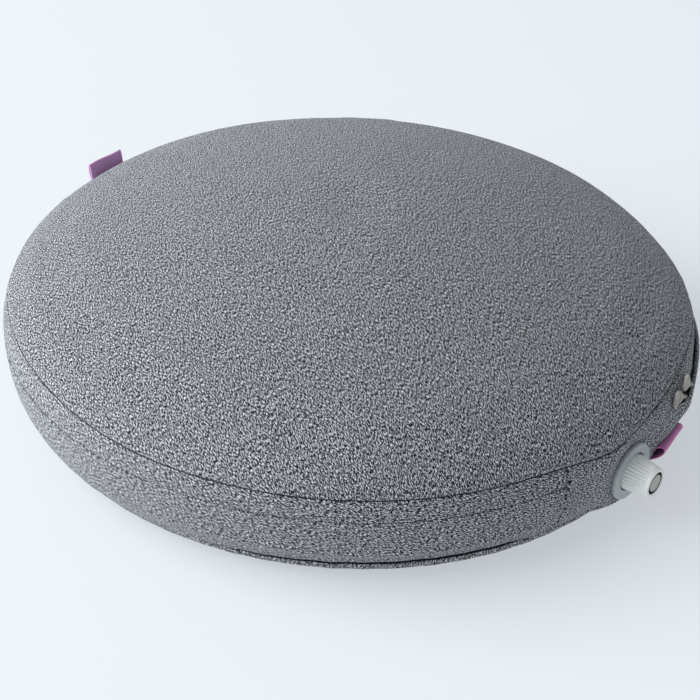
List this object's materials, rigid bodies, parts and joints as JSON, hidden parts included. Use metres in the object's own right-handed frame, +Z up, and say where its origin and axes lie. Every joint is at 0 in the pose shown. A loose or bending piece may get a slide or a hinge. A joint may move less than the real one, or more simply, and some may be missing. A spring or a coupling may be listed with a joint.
{
  "type": "wobble cushion",
  "caption": "Round domed air-filled balance cushion in a zipped knit cover, with a twist valve in its side and two ribbon tabs.",
  "frame": {"origin": "centre of the flat round patch of the underside that rests on the floor", "axes": "+Z up through the crown, +X out along the inflation valve, +Y to its left seen from above"},
  "size_m": [0.3735, 0.3598, 0.106],
  "materials": {
    "knit": "heathered grey knit, matte, soft",
    "bladder_film": "smooth vinyl film, satin",
    "zip_tape": "black woven tape, matte",
    "zip_coil": "dark nylon coil, satin",
    "zip_metal": "dark plated die-cast metal, satin",
    "pull": "warm grey moulded rubbery plastic, matte",
    "valve_grey": "light grey moulded plastic, satin",
    "valve_white": "off-white moulded plastic, satin",
    "seal": "black rubber, matte",
    "rosette": "blue grey soft plastic, matte",
    "ribbon_bright": "magenta woven ribbon, slight sheen",
    "ribbon_muted": "mauve woven ribbon, slight sheen"
  },
  "bodies": {
    "root": {"cover_top_panel": "knit", "cover_upper_band": "knit", "cover_lower_band": "knit", "cover_valve_panel": "knit", "cover_bottom_panel": "knit", "bladder_top_skin": "bladder_film", "bladder_bottom_skin": "bladder_film", "zip_upper_tape": "zip_tape", "zip_lower_tape": "zip_tape", "zip_upper_coil": "zip_coil", "zip_lower_coil": "zip_coil", "zip_end_stops": "zip_metal", "valve_stem": "valve_white", "valve_plug": "valve_white", "plug_seal": "seal", "cover_rosette": "rosette", "rosette_back_ring": "rosette", "valve_side_loop": "ribbon_bright", "far_side_tab": "ribbon_muted"},
    "first_slider": {"first_zip_slider": "zip_metal"},
    "first_pull": {"first_zip_pull": "pull"},
    "second_slider": {"second_zip_slider": "zip_metal"},
    "second_pull": {"second_zip_pull": "pull"},
    "cap_travel_ring": {"cap_o_ring": "seal"},
    "twist_cap": {"valve_cap": "valve_grey"}
  },
  "joints": [
    {"name": "second_slider_run", "type": "hinge", "parent": "root", "child": "second_slider", "pos_m": [0, 0, 0.046], "axis": [0, 0, 1], "range_deg": [0, 321.5]},
    {"name": "first_slider_run", "type": "hinge", "parent": "root", "child": "first_slider", "pos_m": [0, 0, 0.046], "axis": [0, 0, 1], "range_deg": [-0.5, 0]},
    {"name": "first_pull_swing", "type": "hinge", "parent": "first_slider", "child": "first_pull", "pos_m": [0.17456, 0.05006, 0.046], "axis": [-0.1251, 0.4364, 0.891], "range_deg": [0, 150]},
    {"name": "second_pull_swing", "type": "hinge", "parent": "second_slider", "child": "second_pull", "pos_m": [0.17108, 0.06092, 0.046], "axis": [-0.1972, 0.5537, 0.809], "range_deg": [0, 150]},
    {"name": "cap_travel", "type": "slide", "parent": "root", "child": "cap_travel_ring", "axis": [1, 0, 0], "range_m": [0, 0.004]},
    {"name": "cap_turn", "type": "hinge", "parent": "cap_travel_ring", "child": "twist_cap", "pos_m": [0.185, 0, 0.03], "axis": [1, 0, 0], "range_deg": [0, 270]}
  ],
  "couplings": [
    {"joint": "cap_turn", "follows": "cap_travel", "rad_per_m": 1178}
  ]
}
